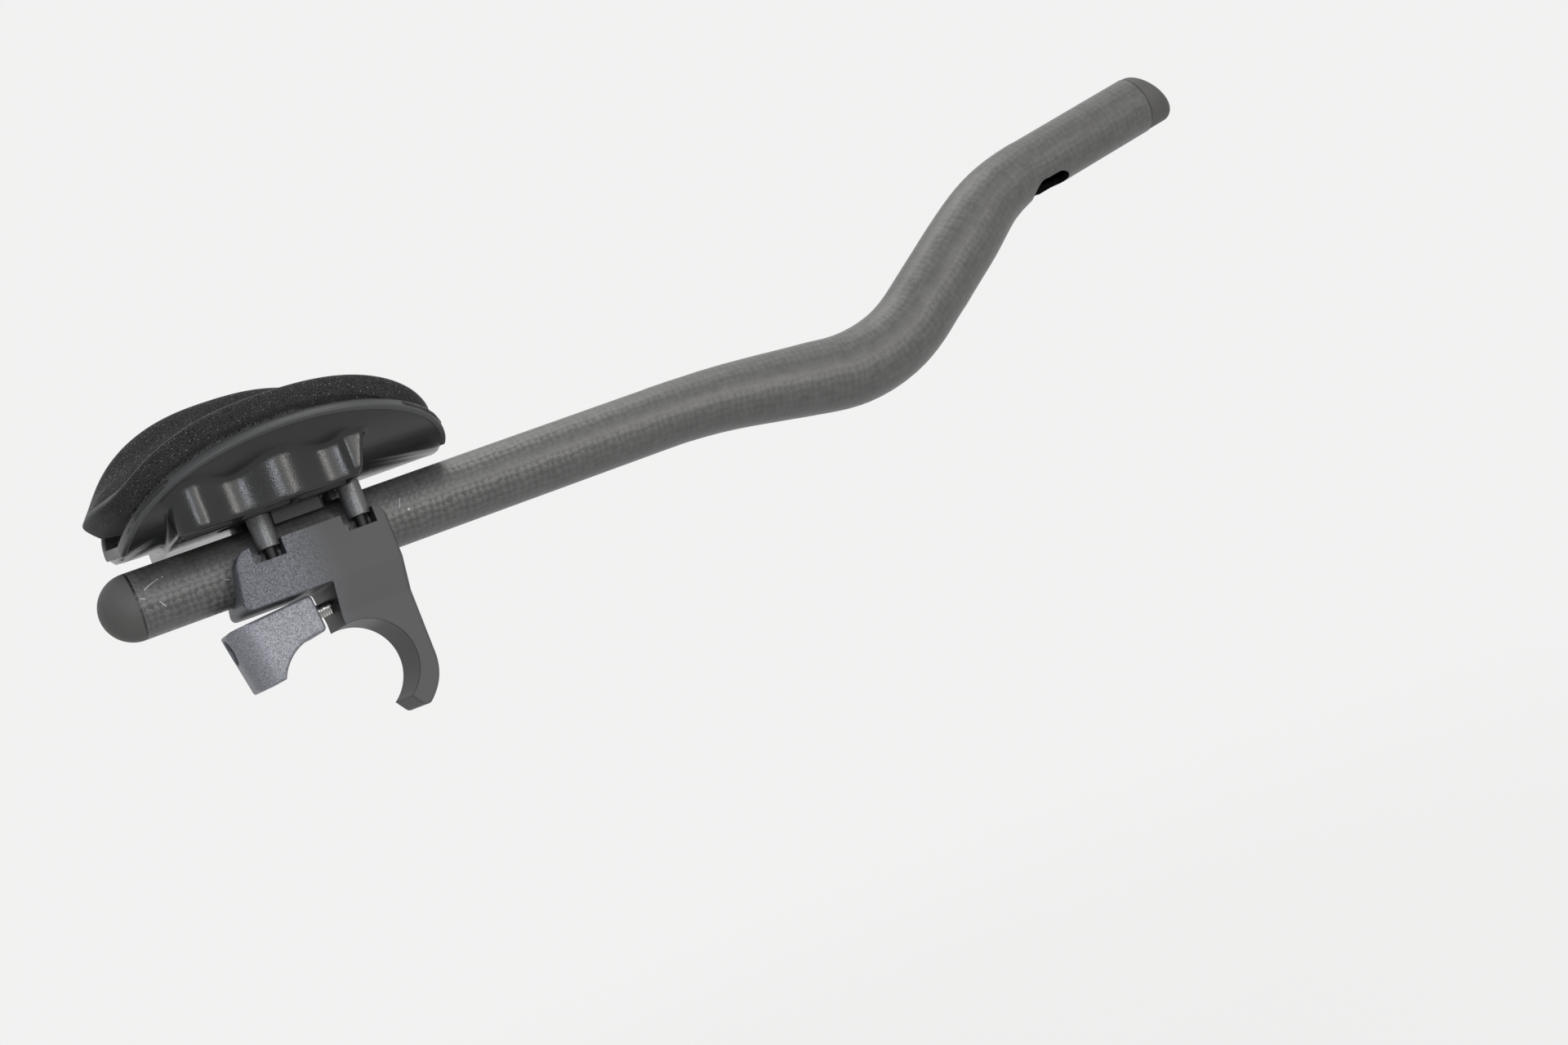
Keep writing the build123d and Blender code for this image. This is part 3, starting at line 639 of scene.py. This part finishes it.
cup_mesh = with_lip(rounded(nodes["armrest_cup"].data), rim_lip())
cup = new_piece("cup_shell", cup_mesh, plastic, "bracket")
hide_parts("armrest_cup")

# Pad: a moulded cushion over the trough, squarer at the front than at the rear
PAD_RIGHT, PAD_LEFT = 51.5, 84.5
PAD_GRID = 44
REAR_POWER, FRONT_POWER = 2.4, 2.55
LIFT_START, LIFT_RUN, LIFT_WIDTH = -38.0, 24.0, 36.0
LIFT_HEIGHT, LIFT_SWELL = 6.0, 0.1
PAD_FLOOR, PAD_TOP, PAD_CROWN = 0.906, 0.925, 0.5
PAD_HIGH = 12.0
# Share of the outline and height above the cup's outer face, round the edge from the floor to the top
PAD_EDGE = (
    (0.912, 4.9),
    (0.935, 5.9),
    (0.96, 7.1),
    (0.982, 8.4),
    (0.992, 9.5),
    (0.985, 10.6),
    (0.962, 11.5),
)
PRESSURE, CLOTH_FRAMES, PUFF_MOST = 4.0, 20, 1.0
TINY = 1e-9


def pad_plan(u, v):
    # From a square to the pad's outline, both from -1 to 1
    a = u * math.sqrt(1 - v * v / 2)
    b = v * math.sqrt(1 - u * u / 2)
    size = math.hypot(a, b)
    if size < TINY:
        return 0.0, 0.0
    power = REAR_POWER if a < 0 else FRONT_POWER
    reach = (abs(a / size) ** power + abs(b / size) ** power) ** (-1 / power)
    return a * reach, b * reach


def pad_point(plan, scale, inset):
    a, b = plan[0] * scale, plan[1] * scale
    x = (PAD_REAR + PAD_FRONT) / 2 + a * (PAD_FRONT - PAD_REAR) / 2
    x, y, z = trough(x, b * (PAD_RIGHT if b < 0 else PAD_LEFT), inset)
    # The rear end bridges the trough, and swells
    lift = np.clip((LIFT_START - x) / LIFT_RUN, 0.0, 1.0)
    lift = lift * lift * (3 - 2 * lift)
    height = LIFT_HEIGHT + (inset - PAD_LOW) * LIFT_SWELL
    return x, y, z + height * lift * max(0.0, 1 - (y / LIFT_WIDTH) ** 2) ** 2


def pad_sheet(points, faces, plans, scale, inset, crown, flip):
    start = len(points)
    for row in plans:
        for plan in row:
            points.append(pad_point(plan, scale, inset + crown * (1 - plan[0] ** 2) * (1 - plan[1] ** 2)))
    for i in range(PAD_GRID):
        for j in range(PAD_GRID):
            a = start + i * (PAD_GRID + 1) + j
            face = (a, a + PAD_GRID + 1, a + PAD_GRID + 2, a + 1)
            faces.append(face[::-1] if flip else face)
    return start


def pad_shape():
    # A floor sheet and a crowned top sheet, with rings round the edge between them
    steps = [2 * i / PAD_GRID - 1 for i in range(PAD_GRID + 1)]
    plans = [[pad_plan(u, v) for v in steps] for u in steps]
    edge = [(i, 0) for i in range(PAD_GRID)] + [(PAD_GRID, j) for j in range(PAD_GRID)]
    edge += [(i, PAD_GRID) for i in range(PAD_GRID, 0, -1)] + [(0, j) for j in range(PAD_GRID, 0, -1)]
    points, faces = [], []
    low = pad_sheet(points, faces, plans, PAD_FLOOR, PAD_LOW, 0.0, True)
    high = pad_sheet(points, faces, plans, PAD_TOP, PAD_HIGH, PAD_CROWN, False)
    rings = [[low + i * (PAD_GRID + 1) + j for i, j in edge]]
    for scale, inset in PAD_EDGE:
        rings.append(range(len(points), len(points) + len(edge)))
        points += [pad_point(plans[i][j], scale, inset) for i, j in edge]
    rings.append([high + i * (PAD_GRID + 1) + j for i, j in edge])
    for below, above in zip(rings, rings[1:]):
        faces += band(below, above)
    mesh = mesh_from("arm_cushion", points, faces)
    turn_out(mesh)
    return mesh


def puff(piece):
    # Swells the piece by a short cloth run, and keeps its underside flat on what it rests on
    mesh = piece.data
    rest = np.array([v.co for v in mesh.vertices])
    cloth = piece.modifiers.new("cloth", "CLOTH")
    cloth.settings.use_pressure = True
    cloth.settings.uniform_pressure_force = PRESSURE
    cloth.settings.effector_weights.gravity = 0.0
    for number in range(1, CLOTH_FRAMES + 1):
        scene.frame_set(number)
    puffed = piece.evaluated_get(bpy.context.evaluated_depsgraph_get()).to_mesh()
    shift = np.array([v.co for v in puffed.vertices]) - rest
    piece.modifiers.remove(cloth)
    scene.frame_set(1)
    size = np.linalg.norm(shift, axis=1, keepdims=True)
    shift *= np.minimum(1.0, PUFF_MOST * MM / np.maximum(size, TINY))
    shift[: (PAD_GRID + 1) ** 2] = 0.0
    mesh.vertices.foreach_set("co", (rest + shift).astype(np.float32).ravel())
    mesh.update()


fabric, tree, shader = material("pad_fabric", {"Roughness": 0.95, "Specular IOR Level": 0.2})
put(tree, shader, {"Sheen Weight": 0.2, "Sheen Roughness": 0.4})
where = place(tree)
nap = noise(tree, where, 0.4, 3.0)
brushed = noise(tree, where, 7.0, 3.0)
dark = blend(tree, brushed, (0.025, 0.0253, 0.026, 1.0), (0.044, 0.0445, 0.0456, 1.0))
dark = vectors(tree, "SCALE", dark, spread(tree, nap, 0.3, 0.75, to_low=0.3, to_high=1.9))
dusty = spread(tree, noise(tree, where, 11.0), 0.3, 0.6)
flecks = times(tree, specks(tree, where, size=0.8, radius=0.17, share=0.5), dusty)
flecks = sums(tree, "MAXIMUM", flecks, specks(tree, where, size=2.4, radius=0.07, share=0.5))
put(tree, shader, {"Base Color": blend(tree, flecks, dark, (0.6, 0.6, 0.62, 1.0))})
bump(tree, shader, nap, depth=0.15)
cushion = new_piece("arm_cushion", pad_shape(), fabric, "bracket")
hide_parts("arm_pad")
puff(cushion)
fine = cushion.modifiers.new("fine", "SUBSURF")
fine.levels = 1
fine.render_levels = 1

# Jaw screw: a socket-head screw with a cut thread
tilt = math.radians(JAW_TILT)
screw_axis = Vector((math.cos(tilt), 0.0, math.sin(tilt)))
screw_up = Vector((-math.sin(tilt), 0.0, math.cos(tilt)))
head_at = Vector(JAW_FACE) + screw_axis * (HEAD_SINK - JAW_LENGTH)
AROUND = 36
PITCH, PITCH_ROWS = 0.8, 8
THREAD_START, THREAD_LENGTH = 0.3, 29.2
THREAD_ROOT, THREAD_HEIGHT = 2.08, 0.4
CREST_SLOPE, CREST_DROP = 2.2, 0.05
TIP_LENGTH, TIP_WIDE, TIP_NARROW = 0.4, 2.2, 1.9
HEAD_EDGE, HEAD_CHAMFER, HEAD_TAPER = 0.2, 0.5, 0.45
KEY_FLOOR = KEY_DEPTH - HEAD_HEIGHT
CREASE = math.radians(50)
MERGE = 1e-6


def thread(reach, k):
    # Radius of the thread at a distance along the screw and a step round it
    phase = (reach / PITCH - k / AROUND) % 1.0
    return THREAD_ROOT + THREAD_HEIGHT * min(1.0, max(0.0, CREST_SLOPE * abs(phase - 0.5) - CREST_DROP))


def key_flat(_, k):
    # Radius of the six-sided key socket at a step round it, the same at any distance along the screw
    sixth = math.pi / 3
    return KEY_SIZE / 2 / math.cos((2 * math.pi * k / AROUND + sixth / 2) % sixth - sixth / 2)


def screw_rings(points, rows):
    # Adds a ring of points for each row: a distance along the screw, and a radius or what gives one
    rings = []
    for reach, radius in rows:
        rings.append(range(len(points), len(points) + AROUND))
        for k in range(AROUND):
            turned = 2 * math.pi * k / AROUND
            size = radius(reach, k) if callable(radius) else radius
            aside = Vector((0, 1, 0)) * (size * math.cos(turned)) + screw_up * (size * math.sin(turned))
            points.append(head_at + screw_axis * reach + aside)
    return rings


shank_rows = [(0.0, SCREW_RADIUS)]
for row in range(int(THREAD_LENGTH / PITCH * PITCH_ROWS)):
    shank_rows.append((THREAD_START + row * PITCH / PITCH_ROWS, thread))
shank_rows += [(SCREW_LENGTH - TIP_LENGTH, TIP_WIDE), (SCREW_LENGTH, TIP_NARROW)]
head_rows = [
    (0.0, SCREW_RADIUS),
    (0.0, HEAD_RADIUS - HEAD_EDGE),
    (-HEAD_EDGE, HEAD_RADIUS),
    (HEAD_CHAMFER - HEAD_HEIGHT, HEAD_RADIUS),
    (-HEAD_HEIGHT, HEAD_RADIUS - HEAD_TAPER),
    (-HEAD_HEIGHT, key_flat),
    (KEY_FLOOR, key_flat),
    (KEY_FLOOR, 0.0),
]
points, faces = [], []
shank = screw_rings(points, shank_rows)
head = screw_rings(points, head_rows)
for first_ring, second_ring in zip(shank, shank[1:]):
    faces += band(first_ring, second_ring)
faces.append(tuple(shank[-1]))
for first_ring, second_ring in zip(head, head[1:]):
    faces += band(second_ring, first_ring)
screw_mesh = mesh_from("jaw_screw", points, faces)
turn_out(screw_mesh, MERGE)
screw = new_piece("jaw_screw", screw_mesh, steel, "jaw")
screw_mesh.set_sharp_from_angle(angle=CREASE)
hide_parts("jaw_bolt")

# Loop lining that shows between the cup and the pad
LINING_LOW, LINING_HIGH = 0.04, 0.5
LINING_ROWS, LINING_STEPS = 40, 36
LINING_SHORT, LINING_BELOW_RIGHT, LINING_BELOW_LEFT = 1.2, 0.5, 0.7
points, faces = [], []
for height in (LINING_LOW, LINING_HIGH):
    inset = CUP_WALL + height
    for i in range(LINING_ROWS + 1):
        x = RIM_REAR + LINING_SHORT + (RIM_FRONT - RIM_REAR - 2 * LINING_SHORT) * i / LINING_ROWS
        low = -rim_side(x, False, inset) + LINING_BELOW_RIGHT
        high = rim_side(x, True, inset) - LINING_BELOW_LEFT
        for j in range(LINING_STEPS + 1):
            points.append(trough(x, low + (high - low) * j / LINING_STEPS, inset))
row_points = LINING_STEPS + 1
layer = (LINING_ROWS + 1) * row_points
for i in range(LINING_ROWS):
    for j in range(LINING_STEPS):
        a = i * row_points + j
        faces.append((a, a + 1, a + row_points + 1, a + row_points))
        faces.append((layer + a, layer + a + row_points, layer + a + row_points + 1, layer + a + 1))
border = [i * row_points for i in range(LINING_ROWS + 1)]
border += [LINING_ROWS * row_points + j for j in range(1, row_points)]
border += [i * row_points + LINING_STEPS for i in range(LINING_ROWS - 1, -1, -1)]
border += range(LINING_STEPS - 1, 0, -1)
faces += band(border, [layer + a for a in border])
new_piece("loop_lining", mesh_from("loop_lining", points, faces), tape, "bracket")

# Loose fibres along the lining's right edge, most of them at the rear
FIBRES, FIBRE_THICK, FIBRE_CURL = 1500, 0.05, 0.3
FIBRES_REAR, FIBRES_RUN, CROWDING = -59.0, 106.0, 1.5
FIBRES_BELOW = 0.3
ANY_WAY = Vector((0.3, 0.5, 0.8))


def fibre(points, faces, root, aim, length):
    # A thin three-sided spike with a bend in it
    aim = aim.normalized()
    side = aim.cross(ANY_WAY).normalized()
    other = aim.cross(side)
    curl = (side * rng.normal() + other * rng.normal()) * length * FIBRE_CURL
    start = len(points)
    for reach, width_share in ((0.0, 1.0), (0.5, 0.8)):
        spot = root + aim * (length * reach) + curl * (reach * 0.6)
        for k in range(3):
            angle = 2 * math.pi * k / 3
            around_spot = side * math.cos(angle) + other * math.sin(angle)
            points.append(spot + around_spot * (FIBRE_THICK * width_share))
    points.append(root + aim * length + curl)
    for k in range(3):
        n = (k + 1) % 3
        faces.append((start + k, start + n, start + 3 + n, start + 3 + k))
        faces.append((start + 3 + k, start + 3 + n, start + 6))


points, faces = [], []
for _ in range(FIBRES):
    x = FIBRES_REAR + FIBRES_RUN * rng.uniform() ** CROWDING
    inset = CUP_WALL + rng.uniform(-0.2, 0.9)
    side = -rim_side(x, False, inset) + FIBRES_BELOW
    angle = math.radians(side)
    root = Vector(trough(x, side, inset))
    aim_x = rng.normal() * 0.5
    aim_y = -math.cos(angle) + rng.normal() * 0.3
    aim_z = -math.sin(angle) + rng.normal() * 0.3
    length = rng.uniform(0.6, 2.2) * (1.0 if x < 0 else 0.5)
    fibre(points, faces, root, Vector((aim_x, aim_y, aim_z)), length)
new_piece("loop_fuzz", mesh_from("loop_fuzz", points, faces), lint, "bracket")
